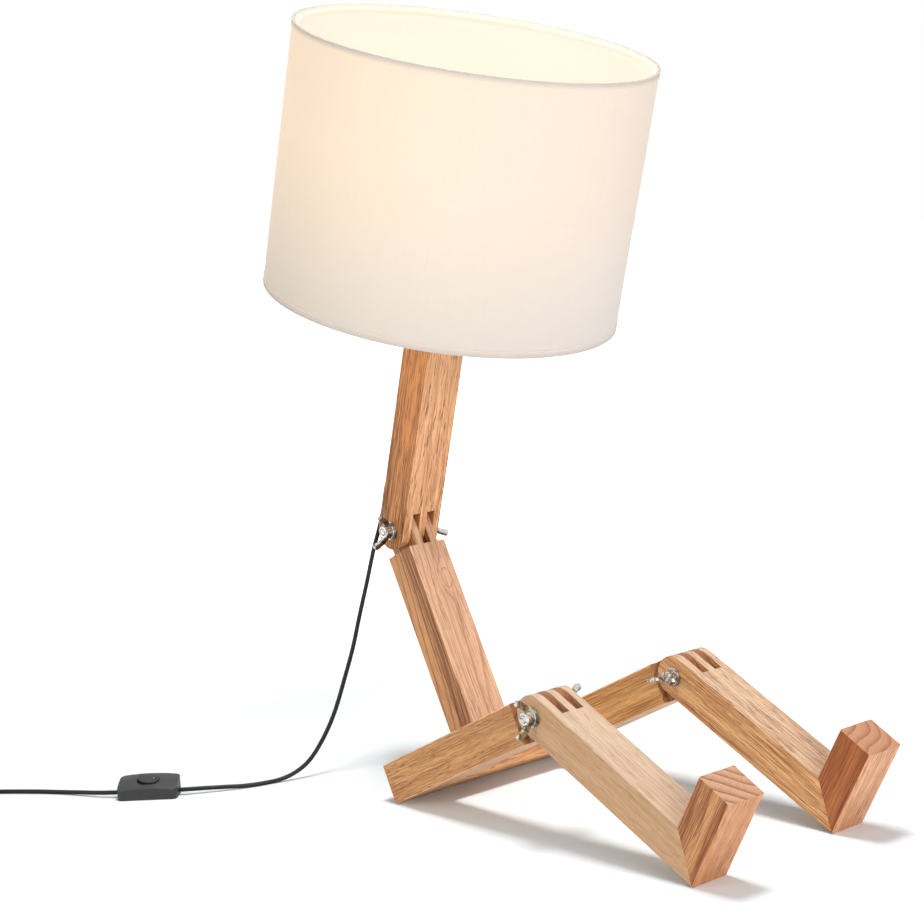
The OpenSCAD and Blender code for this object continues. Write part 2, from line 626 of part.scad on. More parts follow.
// --- Plug -------------------------------------------------------------------------------
// A flat two-pin plug that lies beside the coil, in line with the end of its outer turn.
leave_at = 240.7;                  // where the cord leaves the coil, counted round its middle
plug_turn = leave_at - 270;
plug_reach = 36;                   // from there to the middle of the plug's narrow end
last_turn = [coil_at[0], coil_at[1]] + (coil_r + 2.75 * cord_d) * along(leave_at);
plug_at = last_turn + plug_reach * along(plug_turn);
plug_h = 13.7;
pin_gap = 18.6;
pin_r = 2;
pin_len = 19;
module plug_frame() translate([plug_at[0], plug_at[1], plug_h / 2]) rotate([0, 0, plug_turn]) children();

// Body along +X: narrow where the cord enters and broad at the pins.
module plug_body() color([0.08, 0.08, 0.08]) plug_frame() {
    intersection() {
        linear_extrude(plug_h, center = true) polygon([[-4, -3.5], [2, -5.5], [9, -10.5], [16, -16],
            [30, -17.6], [32, -16.6], [32, 16.6], [30, 17.6], [16, 16], [9, 10.5], [2, 5.5], [-4, 3.5]]);
        rotate([90, 0, 0]) linear_extrude(40, center = true) polygon([[-4, -3.2], [4, -4.5], [14, -6.6],
            [18, -6.85], [32, -6.85], [32, 6.85], [18, 6.85], [14, 6.6], [4, 4.5], [-4, 3.2]]);
    }
    rotate([0, -90, 0]) translate([0, 0, 3]) cylinder(r1 = 3.1, r2 = 2.2, h = 17);
}

module plug_pins() color([0.82, 0.82, 0.80]) plug_frame() for (s = [-1, 1])
    translate([32, s * pin_gap / 2, 0]) rotate([0, 90, 0]) rotate_extrude()
        polygon([[0, 0], [pin_r, 0], [pin_r, pin_len - 1.2], [pin_r - 1.2, pin_len], [0, pin_len]]);

// The last stretch, from the coil's outer turn straight to the plug's tail.
plug_run = plug_reach - 20;
plug_rise = [5.1, 5.3, 6, 6.7, plug_h / 2];
plug_route = [for (i = [0 : 4]) let (p = last_turn + i / 4 * plug_run * along(plug_turn))
    [p[0], p[1], plug_rise[i]]];
module cord_to_plug() color([0.08, 0.08, 0.08]) tube(curve(plug_route, 1), cord_d / 2);

hip_crossbar();
right_thigh();
left_thigh();
lower_torso();
hip_dowels();
torso_dowels();
right_shin();
left_shin();
right_foot();
left_foot();
right_foot_dowels();
left_foot_dowels();
right_knee_screw();
left_knee_screw();
waist_screw();
right_knee_wing_nut();
left_knee_wing_nut();
waist_wing_nut();
right_knee_washers();
left_knee_washers();
waist_washers();
upper_torso();
cord_grommet();
torso_cord();
holder_nipple();
nipple_nut();
holder_cap();
holder_sleeve();
terminal_block();
socket_liner();
shade_clamp_ring();
shade_spider();
shade_low_wire();
shade_top_wire();
shade_skin();
shade_rim_tapes();
bulb_cap();
bulb_globe();
cord_drop();
cord_to_switch();
cord_to_coil();
cord_coil();
coil_tie();
cord_to_plug();
switch_base();
switch_cover();
switch_rocker();
switch_screws();
plug_body();
plug_pins();
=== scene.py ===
import json
import math
import bpy
import numpy as np
from mathutils import Matrix, Vector


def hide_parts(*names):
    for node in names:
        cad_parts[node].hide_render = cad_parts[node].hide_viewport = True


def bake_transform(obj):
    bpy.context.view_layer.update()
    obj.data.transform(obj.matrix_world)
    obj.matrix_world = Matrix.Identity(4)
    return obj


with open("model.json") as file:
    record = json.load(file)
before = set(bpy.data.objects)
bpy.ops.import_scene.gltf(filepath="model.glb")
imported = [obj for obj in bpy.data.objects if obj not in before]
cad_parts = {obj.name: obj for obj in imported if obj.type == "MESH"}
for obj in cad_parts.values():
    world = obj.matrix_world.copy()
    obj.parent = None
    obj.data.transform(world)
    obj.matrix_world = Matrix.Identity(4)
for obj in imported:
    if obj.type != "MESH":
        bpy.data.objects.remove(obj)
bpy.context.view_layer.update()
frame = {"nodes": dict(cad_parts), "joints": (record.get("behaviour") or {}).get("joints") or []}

# ---------------------------------------------------------------------------------------
# Camera. It stands about 1.4 m away, in front and to the right of the lamp and a hand's
# width above its shade's lower rim, with a long lens and a slight tilt of the picture.
turn, rise, tilt = (math.radians(a) for a in (49.003, 7.514, -3.358))
viewpoint = Vector((0.995152, -0.939793, 0.411665))
back = Vector((math.sin(turn) * math.cos(rise), -math.cos(turn) * math.cos(rise), math.sin(rise)))
level = Vector((math.cos(turn), math.sin(turn), 0))
upright = back.cross(level)
picture_right = math.cos(tilt) * level + math.sin(tilt) * upright
picture_up = math.cos(tilt) * upright - math.sin(tilt) * level
camera = bpy.data.objects.new("camera", bpy.data.cameras.new("camera"))
camera.data.sensor_fit = "HORIZONTAL"
camera.data.sensor_width = 36
camera.data.lens = 83.218
camera.data.clip_start = 0.05
camera.data.clip_end = 60
camera.matrix_world = Matrix((
    (picture_right.x, picture_up.x, back.x, viewpoint.x),
    (picture_right.y, picture_up.y, back.y, viewpoint.y),
    (picture_right.z, picture_up.z, back.z, viewpoint.z),
    (0, 0, 0, 1)))
bpy.context.scene.collection.objects.link(camera)
bpy.context.scene.camera = camera
bpy.context.scene.view_settings.view_transform = "Standard"

# ---------------------------------------------------------------------------------------
# Cord. 1.8 m of round black two-core lamp cord, 3 mm thick, in a smooth vinyl jacket. It
# comes out of the torso's rear face, hangs to the table, runs through the switch, and is
# wound outside the picture into a flat coil of two layers that ends in the plug.
per_metre = 1000
torso_lean = 17


def slanted(degrees):
    """A direction in the lamp's own plane, in which 0 is forward and 90 is up."""
    return Vector((math.cos(math.radians(degrees)), 0, math.sin(math.radians(degrees))))


# The route is in millimetres.
cord_exit = np.array((-152.917, 0, 207.885))
hanging_part = [cord_exit, cord_exit + 4 * np.array(slanted(180 - torso_lean)),
    (-161, -1, 208), (-164, -2, 203), (-165, -4, 196), (-164.5, -8, 182), (-164.5, -13, 169),
    (-165.5, -18.5, 154), (-167, -24.7, 133), (-169.4, -31.3, 110), (-171.6, -37.7, 87),
    (-174, -45, 66), (-176.3, -52, 47), (-178.6, -58.5, 33), (-181.5, -66.4, 20), (-184, -75, 10.4),
    (-187, -85, 4.6), (-190, -94, 2.1), (-192, -102, 1.6)]
part_to_switch = [(-195, -112, 1.6), (-199.3, -122, 2), (-205, -132, 2.7), (-211.3, -142.6, 3.3),
    (-217.3, -151.4, 3.6), (-222.2, -157.6, 3.6), (-226.9, -162.4, 3.6)]
part_to_coil = [(-246.5, -182.4, 3.6), (-251.3, -187.3, 3.6), (-258, -192.7, 3.4), (-267, -197.7, 2.9),
    (-280, -203.4, 2.2), (-293.6, -210.4, 1.6), (-306, -218.4, 1.6), (-318, -227.3, 1.6),
    (-329.6, -236.4, 1.6), (-340.6, -245.1, 1.9)]
coil_middle = np.array((-337, -272))
wide_turn, tight_turn, turns_per_layer = 25.6, 9.1, 5.5
lower_layer, layer_rise = 2.1, 3
coil_start, coil_end = 124.3, 240.7


def coiled(points_per_turn=24):
    """The coil's middle line: in along the table, up one cord, and out again above it."""
    whole = 2 * turns_per_layer + 1 + (coil_end - coil_start) / 360
    wound = np.append(np.arange(0, whole - 0.5 / points_per_turn, 1 / points_per_turn), whole)
    inwards = wide_turn + (tight_turn - wide_turn) * wound / turns_per_layer
    outwards = tight_turn + (wide_turn - tight_turn) * (wound - turns_per_layer - 1) / turns_per_layer
    radius = np.where(wound < turns_per_layer, inwards,
        np.where(wound < turns_per_layer + 1, tight_turn, np.minimum(outwards, wide_turn)))
    climb = np.clip(wound - turns_per_layer, 0, 1)
    angle = np.radians(coil_start + 360 * wound)
    return np.stack((coil_middle[0] + radius * np.cos(angle), coil_middle[1] + radius * np.sin(angle),
        lower_layer + layer_rise * climb * climb * (3 - 2 * climb)), -1)


def smooth_route(stops, steps=4):
    """A curve through all the stops, with a number of steps between neighbours."""
    stops = np.array([stops[0], *stops, stops[-1]], float)
    share = (np.arange(steps) / steps)[:, None]
    spans = [0.5 * (2 * b + (c - a) * share + (2 * a - 5 * b + 4 * c - d) * share ** 2
        + (3 * b - a - 3 * c + d) * share ** 3)
        for a, b, c, d in zip(stops, stops[1:], stops[2:], stops[3:])]
    return np.vstack(spans + [stops[-1:]])


turns = coiled()
leaving = math.radians(coil_end + 90)
to_plug = np.array((math.cos(leaving), math.sin(leaving), 0))
last_part = [turns[-1] + step * to_plug + np.array((0, 0, lift))
    for step, lift in ((4, 0.2), (8, 0.9), (12, 1.6), (17, 1.75))]
route = np.vstack((
    smooth_route([*hanging_part, *part_to_switch])[:-1],
    smooth_route([part_to_switch[-1], *part_to_coil, turns[0]])[:-1],
    turns, last_part)) / per_metre


def tube(name, middle, radius, sides=12):
    """A round rod along a line of points, capped at both ends."""
    ahead = np.gradient(middle, axis=0)
    ahead /= np.linalg.norm(ahead, axis=1)[:, None]
    side = np.cross(ahead[0], (0, 0, 1))
    corners = []
    for point, direction in zip(middle, ahead):
        # Each ring of corners turns no more than the line does, so the rod isn't twisted.
        side = side - direction * (side @ direction)
        side /= np.linalg.norm(side)
        other = np.cross(direction, side)
        corners += [tuple(point + radius * (math.cos(a) * side + math.sin(a) * other))
            for a in np.arange(sides) * 2 * math.pi / sides]
    last = (len(middle) - 1) * sides
    faces = [(ring + this, ring + after, ring + sides + after, ring + sides + this)
        for ring in range(0, last, sides) for this, after in enumerate([*range(1, sides), 0])]
    faces += [tuple(range(sides))[::-1], tuple(range(last, last + sides))]
    mesh = bpy.data.meshes.new(name)
    mesh.from_pydata(corners, [], faces)
    mesh.polygons.foreach_set("use_smooth", [len(face) == 4 for face in faces])
    made = bpy.data.objects.new(name, mesh)
    bpy.context.scene.collection.objects.link(made)
    return made


def paint(red, green, blue):
    """A colour as it is seen, 0 to 255, in the renderer's own scale."""
    return tuple((c / 255 / 12.92 if c <= 10 else ((c / 255 + 0.055) / 1.055) ** 2.4)
        for c in (red, green, blue)) + (1.0,)


class Varying:
    """A value that changes over a surface. Arithmetic on it adds Math nodes."""
    def __init__(self, nodes, socket):
        self.nodes, self.socket = nodes, socket

    def math(self, operation, *more):
        return self.nodes.math(operation, self, *more)

    def __add__(self, other):
        return self.math("ADD", other)

    def __sub__(self, other):
        return self.math("SUBTRACT", other)

    def __rsub__(self, other):
        return self.nodes.math("SUBTRACT", other, self)

    def __mul__(self, other):
        return self.math("MULTIPLY", other)

    def __truediv__(self, other):
        return self.math("DIVIDE", other)

    def __pow__(self, other):
        return self.math("POWER", other)

    def __gt__(self, other):
        return self.math("GREATER_THAN", other)

    def __lt__(self, other):
        return self.math("LESS_THAN", other)

    def __neg__(self):
        return 0.0 - self

    def __abs__(self):
        return self.math("ABSOLUTE")

    def held(self):
        """The value, kept between 0 and 1."""
        return self.math("MAXIMUM", 0.0).math("MINIMUM", 1.0)

    __radd__ = __add__
    __rmul__ = __mul__


class Nodes:
    """The shader nodes of one material or of the surround."""
    def __init__(self, tree, output):
        tree.nodes.clear()
        self.tree = tree
        self.output = tree.nodes.new(output)

    def node(self, kind, settings=None, inputs=(), out=0):
        """A node of any kind. An input is a fixed value, or a varying one that is linked."""
        made = self.tree.nodes.new(kind)
        for setting, value in (settings or {}).items():
            if setting == "stops":
                for i, (position, colour) in enumerate(value):
                    stop = made.color_ramp.elements[i] if i < 2 else made.color_ramp.elements.new(position)
                    stop.position, stop.color = position, colour
            else:
                setattr(made, setting, value)
        for socket, value in (inputs.items() if isinstance(inputs, dict) else enumerate(inputs)):
            if isinstance(value, Varying):
                self.tree.links.new(value.socket, made.inputs[socket])
            else:
                made.inputs[socket].default_value = value
        return Varying(self, made.outputs[out])

    def show(self, shader):
        """Makes a shader the one that is seen."""
        self.tree.links.new(shader.socket, self.output.inputs[0])

    def math(self, operation, *values):
        return self.node("ShaderNodeMath", {"operation": operation}, values)

    def vector_math(self, operation, *vectors):
        return self.node("ShaderNodeVectorMath", {"operation": operation}, vectors, out="Value")

    def at(self, x, y, z):
        """Three values as one place."""
        return self.node("ShaderNodeCombineXYZ", None, [x, y, z])


class Finish(Nodes):
    """The finish of one kind of surface. Fixed numbers are set on the shader's own sockets."""
    def __init__(self, name, **fixed):
        self.material = bpy.data.materials.new(name)
        self.material.use_nodes = True
        super().__init__(self.material.node_tree, "ShaderNodeOutputMaterial")
        shader = self.node("ShaderNodeBsdfPrincipled", None,
            {socket.replace("_", " "): value for socket, value in fixed.items()})
        self.show(shader)
        self.shader = shader.socket.node
        self.place = self.node("ShaderNodeTexCoord", out="Object")

    def in_mm(self):
        """The place on the piece, in millimetres."""
        return self.node("ShaderNodeVectorMath", {"operation": "SCALE"}, {0: self.place, "Scale": per_metre})

    def along(self, direction, start):
        """How far a point lies from start along a direction, in millimetres."""
        reach = self.vector_math("DOT_PRODUCT", self.place, tuple(direction))
        return reach * per_metre - per_metre * start.dot(direction)

    def facing(self, direction):
        """1 where the surface faces along a direction, -1 where it faces the other way."""
        normal = self.node("ShaderNodeTexCoord", out="Normal")
        return self.vector_math("DOT_PRODUCT", normal, tuple(direction))

    def cloud(self, where, size, detail, rough=0.5):
        """Soft noise from 0 to 1. size is that of its patches, in the unit of where."""
        return self.node("ShaderNodeTexNoise", None,
            {"Vector": where, "Scale": 1.0 / size, "Detail": detail, "Roughness": rough})

    def mixed(self, share, one, other):
        """One colour where share is 0, and the other where it is 1."""
        return self.node("ShaderNodeMix", {"data_type": "RGBA", "clamp_factor": True},
            {0: share, 6: one, 7: other}, out=2)

    def toned(self, share, one, other):
        """The same for two colours as they are seen, 0 to 255."""
        return self.mixed(share, paint(*one), paint(*other))

    def wear(self, base=None, rough=None, height=None, depth=0, **others):
        """Links what varies: the colour, the roughness and a relief of that depth in millimetres."""
        varied = {socket.replace("_", " "): value for socket, value in others.items()}
        if base is not None:
            varied["Base Color"] = base
        if rough is not None:
            varied["Roughness"] = rough.held()
        if height is not None:
            varied["Normal"] = self.node("ShaderNodeBump", None,
                {"Strength": 1.0, "Distance": depth / per_metre, "Height": height}, out="Normal")
        for socket, value in varied.items():
            self.tree.links.new(value.socket, self.shader.inputs[socket])
        return self.material


def skin(name, colours, rough, patch, depth, grain=None, **fixed):
    """A plain skin that wanders between two colours and two roughnesses. patch is the size of its
    patches in millimetres and their detail. grain is the same for its relief, which otherwise
    follows the patches."""
    made = Finish(name, **fixed)
    tone = made.cloud(made.in_mm(), *patch)
    relief = made.cloud(made.in_mm(), *grain) if grain else tone
    return made.wear(base=made.toned(tone, *colours), rough=rough[0] + (rough[1] - rough[0]) * tone,
        height=relief, depth=depth)


def dressed(names, material):
    """Gives pieces of the frame a material."""
    for name in names:
        mesh = frame["nodes"][name].data
        mesh.materials.clear()
        mesh.materials.append(material)


cord = tube("cord_whole", route, radius=0.0015)
jacket = skin("black_vinyl_jacket", ((7, 7, 8), (14, 14, 15)), rough=(0.34, 0.54), patch=(9, 3),
    grain=(0.35, 1), depth=0.04, Specular_IOR_Level=0.3)
cord.data.materials.append(jacket)
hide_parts("cord_drop", "cord_to_switch", "cord_to_coil", "cord_coil", "cord_to_plug")
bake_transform(cord)
dressed(["torso_cord"], jacket)

# ---------------------------------------------------------------------------------------
# Hip, thighs and lower torso. Planed bars of plantation hardwood, glued with fluted birch
# dowels: a crossbar joins the thighs' rear ends, and the torso stands on it. All the wood
# is sanded, eased along its edges and has one thin coat of clear satin lacquer.
hinge = {joint["name"]: Vector(joint["pos_m"]) for joint in frame["joints"]}
knee_right, knee_left, waist = hinge["right_knee"], hinge["left_knee"], hinge["waist_tilt"]
crossbar_middle = Vector((-0.0837, 0, 0.02))
thigh_rise = 25.5
up_thigh = slanted(thigh_rise)
up_lower_torso = slanted(thigh_rise + 90)
sideways = Vector((0, 1, 0))
pore_brown = paint(118, 60, 26)
# Painted shade for the saw cuts inside the hinges, which lie in shadow in their slots.
hinge_shade_colours = (158, 98, 60), (98, 54, 32)


def timber(bar, grain, start, sides, fronts, pith, ring, flecks, ends=((190, 136, 94), (144, 92, 58)),
        broad=sideways, band=0.5, lines=0.3, painted_glow_slope=0.0, two_tone=0.0, knot=None, sawn_from=0.8,
        hinge_shade_from=None):
    """A bar of solid wood: growth rings round a pith beside it, stripes, fine streaks and short dark
    pores along the grain, and end grain where it is sawn across. All places are in millimetres
    from start. sides, fronts and ends are a pale and a dark colour each, for the faces that look
    along broad, for the other two long faces and for the ends. ring is the rings' spacing. band,
    lines and flecks are the strengths of the stripes, the rings and the pores. fade darkens the
    sides along the grain, and below 0 pales them, which paints a glow of the lit shade; two_tone
    darkens them from one edge to the other. A face is sawn across where it looks along the grain
    by more than sawn_from. Past hinge_shade_from the hinge's saw cuts are painted darker: painted shade."""
    wood = Finish(bar + "_wood", Specular_IOR_Level=0.4)
    narrow = grain.cross(broad)
    length, across, thick = wood.along(grain, start), wood.along(broad, start), wood.along(narrow, start)

    def figure(long, wide, detail, rough=0.5):
        """Noise drawn out along the grain, in patches that long and that wide."""
        return wood.cloud(wood.at(length / long, across / wide, thick / wide), 1, detail, rough)

    # The rings stray from true circles, since no trunk is quite round or straight.
    stray = 16
    drift = figure(150, 30, 0)
    other_drift = wood.cloud(wood.at(length / 90 + 7.0, across / 26, thick / 26), 1, 0)
    x = across - pith[0] + stray * (drift - 0.5)
    y = thick - pith[1] + stray * (other_drift - 0.5)
    if knot:
        # The grain swells round a small knot that is longer than it is wide.
        place, size, swell = knot
        run, aside, deep = length - place[0], across - place[1], thick - place[2]
        y = y + swell * (-((run * run * 0.35 + aside * aside + deep * deep) / size ** 2)).math("EXPONENT")
    from_pith = wood.vector_math("LENGTH", wood.at(x, y, 0.0))
    late_wood = (from_pith / ring + 0.9 * other_drift).math("FRACT") ** 5.0
    end_rings = (from_pith / 6.5 + 0.3 * other_drift).math("FRACT") ** 3.0
    stripe = figure(170, 6.5, 2)
    streak = figure(60, 0.75, 2, 0.6)
    hair = figure(20, 0.38, 1)
    crowded = ((figure(30, 3.2, 2) - 0.40) * 5).held()
    pores = ((figure(9, 0.6, 1) - 0.55) * 18).held() * (0.3 + 0.7 * crowded)
    tone = (0.42 + 3.2 * band * (stripe - 0.5) + lines * (late_wood - 0.2)
        + 2.1 * (streak - 0.5) + 1.9 * (hair - 0.5))
    side_tone = (tone + painted_glow_slope * length / 100 + two_tone * ((0.4 + thick / 5).held() - 0.5)).held()
    end_tone = (0.1 + 0.95 * end_rings + 0.5 * (pores - 0.1)).held()
    front = abs(wood.facing(narrow)) > 0.6
    sawn = ((abs(wood.facing(grain)) - sawn_from) * 8).held()
    colour = wood.mixed(front, wood.toned(side_tone, *sides), wood.toned(tone.held(), *fronts))
    colour = wood.mixed(pores * flecks, colour, pore_brown)
    colour = wood.mixed(sawn, colour, wood.toned(end_tone, *ends))
    if hinge_shade_from is not None:
        # Inside the hinge the saw cuts are painted darker than the lacquered faces: painted shade in the
        # slots.
        colour = wood.mixed(((length - hinge_shade_from) / 2).held(), colour, wood.toned(tone.held(), *hinge_shade_colours))
    dressed([bar], wood.wear(base=colour, rough=0.46 + 0.25 * (streak - 0.5) + 0.12 * pores,
        height=0.5 * streak - pores + 0.25 * hair, depth=0.14))


timber("right_thigh", up_thigh, knee_right,
    ((213, 157, 98), (158, 97, 46)), ((222, 176, 132), (188, 138, 92)),
    pith=(-14, -70), ring=4.6, flecks=0.55, band=0.4, sawn_from=0.25, hinge_shade_from=-16)
timber("left_thigh", up_thigh, knee_left,
    ((224, 168, 106), (144, 88, 34)), ((222, 176, 132), (192, 140, 94)),
    pith=(20, -90), ring=5, flecks=0.3, sawn_from=0.25, hinge_shade_from=-16)
timber("lower_torso", up_lower_torso, waist,
    ((213, 154, 100), (123, 68, 28)), ((225, 180, 147), (186, 135, 100)),
    pith=(30, 46), ring=2.6, flecks=0.4, band=0.3, lines=1.1, two_tone=-0.65,
    knot=((-43.5, 4, -13), 6, 6), sawn_from=0.25)
timber("hip_crossbar", sideways, crossbar_middle,
    ((216, 162, 112), (180, 124, 76)), ((216, 162, 112), (180, 124, 76)),
    pith=(40, -55), ring=3.6, flecks=0.5, broad=up_thigh)
dressed(["hip_dowels", "torso_dowels", "right_foot_dowels", "left_foot_dowels"],
    skin("birch_peg", ((232, 206, 166), (212, 180, 138)), rough=(0.6, 0.8), patch=(3, 3), grain=(0.5, 1),
        depth=0.1, Specular_IOR_Level=0.4))

# ---------------------------------------------------------------------------------------
# Shins and feet. Each foot is a short offcut, mitred to the shin at the heel and held with
# two dowels. The bars come from different boards, so no two of them have quite one colour.
shin_fall, heel_angle = 27.423, 87.5
foot_rise = heel_angle - shin_fall
down_shin = slanted(-shin_fall)
up_foot = slanted(foot_rise)
heel = Vector((0.181875, 0, 0))
heel_to_middle = 0.01275 * slanted(foot_rise + 90)
timber("right_shin", down_shin, knee_right,
    ((207, 166, 125), (188, 143, 101)), ((207, 180, 153), (178, 146, 119)),
    pith=(34, 60), ring=5, flecks=0.3, band=0.3)
timber("left_shin", down_shin, knee_left,
    ((242, 189, 131), (161, 96, 42)), ((216, 187, 157), (162, 112, 72)),
    pith=(-20, 58), ring=4, flecks=0.7, band=0.35)
timber("right_foot", up_foot, heel + knee_right.y * sideways + heel_to_middle,
    ((215, 153, 96), (137, 70, 28)), ((217, 157, 111), (193, 128, 84)), ends=((201, 156, 121), (136, 75, 46)),
    pith=(28, 30), ring=4.4, flecks=0.6, band=0.7, lines=0.5)
timber("left_foot", up_foot, heel + knee_left.y * sideways + heel_to_middle,
    ((191, 113, 56), (121, 53, 14)), ((243, 184, 140), (173, 108, 67)), ends=((193, 139, 102), (148, 90, 62)),
    pith=(-44, 66), ring=4, flecks=0.6, band=0.3)

# ---------------------------------------------------------------------------------------
# Wing screws, wing nuts and washers. Cast zinc wings and turned hubs, tumbled smooth and
# nickel-plated, on M5 screws; the washers are punched from bright steel.
# Dark colours for painted reflection lines on metal and for painted shade under it.
dark_reflection_colour = paint(66, 58, 50)
underside_shade_colour = paint(60, 54, 48)


def metal(name, pale, dull, rough, depth=0.25, reflection_lines=0.0):
    """Bright metal, mottled and finely pitted, with painted shade on its undersides. grime is the
    strength of thin dark lines, painted in as reflections of darker surroundings."""
    plated = Finish(name, Metallic=1.0)
    mottle = plated.cloud(plated.in_mm(), 4.2, 3)
    pits = plated.cloud(plated.in_mm(), 0.4, 2)
    colour = plated.toned(mottle, pale, dull)
    if reflection_lines:
        # Thin dark lines painted in as reflections of darker surroundings.
        thread = (1.2 - abs(plated.cloud(plated.in_mm(), 6, 1) - 0.5) * 20).held()
        colour = plated.mixed(thread * reflection_lines, colour, dark_reflection_colour)
    # Faces that look down are painted darker: painted shade.
    under = (0.1 - plated.facing((-0.25, -0.35, 0.9))).held()
    colour = plated.mixed(under, colour, underside_shade_colour)
    return plated.wear(base=colour, rough=rough + 0.16 * (mottle - 0.4),
        height=mottle + 0.3 * pits, depth=depth)


dressed(["right_knee_screw", "left_knee_screw", "waist_screw", "right_knee_wing_nut",
    "left_knee_wing_nut", "waist_wing_nut"],
    metal("nickel_plating", (240, 236, 228), (186, 180, 170), 0.12, reflection_lines=0.7))
steel = metal("bright_steel", (222, 219, 213), (166, 162, 155), 0.18, depth=0.1, reflection_lines=0.4)
dressed(["right_knee_washers", "left_knee_washers", "waist_washers"], steel)

# ---------------------------------------------------------------------------------------
# Upper torso. The bar that carries the lamp holder is drilled along its length for the
# cord, which turns out through a black rubber grommet in the rear face.
up_torso = slanted(90 - torso_lean)
torso_forward = slanted(-torso_lean)
waist_to_top = 0.16
torso_top = waist + waist_to_top * up_torso
# Its sides pale towards the top: painted glow from the lit shade just above.
timber("upper_torso", up_torso, waist,
    ((221, 146, 80), (75, 30, 7)), ((248, 191, 142), (190, 126, 80)),
    pith=(26, -48), ring=4.2, flecks=0.75, band=0.4, painted_glow_slope=-0.3)
dressed(["cord_grommet"], skin("grommet_rubber", ((24, 24, 24), (40, 39, 38)), rough=(0.55, 0.75),
    patch=(1.2, 2), depth=0.06, Specular_IOR_Level=0.3))

# ---------------------------------------------------------------------------------------
# Lamp holder. A pale thermoplastic cap and sleeve on a threaded steel nipple, with a
# ceramic block of terminals and a brass thread inside. A ring nut clamps the shade.
dressed(["holder_cap", "holder_sleeve", "shade_clamp_ring"],
    skin("holder_thermoplastic", ((238, 235, 226), (228, 223, 210)), rough=(0.34, 0.48), patch=(12, 2),
        grain=(0.8, 2), depth=0.05))
dressed(["terminal_block"], skin("terminal_ceramic", ((236, 230, 218), (218, 210, 196)), rough=(0.4, 0.6),
    patch=(2, 3), depth=0.1, Coat_Weight=0.3))
dressed(["socket_liner"], metal("spun_brass", (222, 190, 118), (186, 150, 84), 0.3))
dressed(["holder_nipple", "nipple_nut"], steel)

# ---------------------------------------------------------------------------------------
# Shade carrier. Three bent wires welded under a fitting ring carry the lower wire of the
# shade; all of it is powder-coated white.
dressed(["shade_spider", "shade_low_wire"],
    skin("white_powder_coat", ((240, 238, 232), (226, 222, 212)), rough=(0.4, 0.55), patch=(0.9, 2),
        depth=0.08, Specular_IOR_Level=0.45))

# ---------------------------------------------------------------------------------------
# Bulb. An opal glass globe 60 mm across on a 27 mm screw cap of nickel-plated brass. It is
# lit with a warm white light, deeper in colour at the neck than round the globe.
dressed(["bulb_cap"], metal("lamp_cap_alloy", (214, 212, 204), (170, 166, 156), 0.28))
neck_top, neck_blend = 45, 22
opal = Finish("lit_opal_glass", Base_Color=paint(250, 240, 220), Roughness=0.25, Emission_Strength=3.0)
above_neck = ((opal.along(up_torso, torso_top) - neck_top) / neck_blend).held()
dressed(["bulb_globe"], opal.wear(
    Emission_Color=opal.toned(above_neck, (238, 196, 130), (255, 226, 176))))

# ---------------------------------------------------------------------------------------
# Shade. A drum of pale cotton laminated on clear stiff film, lapped at the back and lit
# through from inside: brightest beside the bulb, greyer towards the lower rim.
shade_radius, shade_height, shade_middle = 119.4, 175, 94.5
between_faces = 118.95
greyest_height, brightest_height = 5, 155
# These are measured round the drum from its front, and positive towards the left. The seam
# at the back shows as a darker band on both of its sides.
white_middle, white_reach = 62, 208
lap_from = 366.5
# From outside, the cloth glows whitest a little left of its front, and yellower round from there.
yellow_light = ((0.24, 0.19, 0.14), (0.36, 0.265, 0.185), (0.465, 0.33, 0.20), (0.54, 0.37, 0.22),
    (0.53, 0.375, 0.22))
white_light = ((0.24, 0.215, 0.215), (0.31, 0.26, 0.245), (0.37, 0.285, 0.24), (0.395, 0.295, 0.235),
    (0.395, 0.295, 0.235))


def rising(finish, height, colours):
    """Light through the cloth, from the lower rim upwards, in even steps."""
    stops = [(i / (len(colours) - 1), (*colour, 1)) for i, colour in enumerate(colours)]
    return finish.node("ShaderNodeValToRGB", {"stops": stops}, [height])


def lamplight(finish):
    """Where a point of the shade lies, in millimetres, how far up it is in its bright part, and
    how the bulb shines through there."""
    height = finish.along(up_torso, torso_top)
    to_front = finish.along(torso_forward, torso_top)
    to_left = finish.along(sideways, torso_top)
    from_axis = finish.vector_math("LENGTH", finish.at(to_front, to_left, 0.0))
    round_it = to_left.math("ARCTAN2", to_front) * shade_radius
    lit = ((height - greyest_height) / (brightest_height - greyest_height)).held()
    whiter = (1.1 - abs(round_it - white_middle) / white_reach).held()
    glow = finish.mixed(whiter, rising(finish, lit, yellow_light), rising(finish, lit, white_light))
    return height, round_it, from_axis, lit, glow


cloth = Finish("lit_shade_cloth", Specular_IOR_Level=0.15, Roughness=0.85, Emission_Strength=1.0)
up_shade, round_it, from_axis, lit, outside_glow = lamplight(cloth)
warp = cloth.cloud(cloth.at(round_it / 0.55, up_shade / 26, 3.0), 1, 1)
weft = cloth.cloud(cloth.at(round_it / 26, up_shade / 0.55, 9.0), 1, 1)
weave = 0.5 * warp + 0.5 * weft
lap = abs(round_it) > lap_from
outside_glow = cloth.mixed(lap * 0.3 + 0.10 * weave, outside_glow, paint(120, 108, 92))
# Inside, the wall at the front and right is rosier than the wall at the back and left.
rosy_from, full_after, rosy_to, faint_before = -313, 187, 200, 150
rosy = ((round_it - rosy_from) / full_after).held() * ((rosy_to - round_it) / faint_before).held()
inner_light = cloth.mixed(rosy, (0.42, 0.39, 0.335, 1), (0.42, 0.32, 0.265, 1))
inner_glow = cloth.mixed(lit * (0.9 + 0.1 * weave), (0.28, 0.25, 0.20, 1), inner_light)
dressed(["shade_skin"], cloth.wear(base=cloth.toned(weave, (196, 190, 182), (184, 177, 168)),
    height=weave, depth=0.08,
    Emission_Color=cloth.mixed(from_axis < between_faces, outside_glow, inner_glow)))
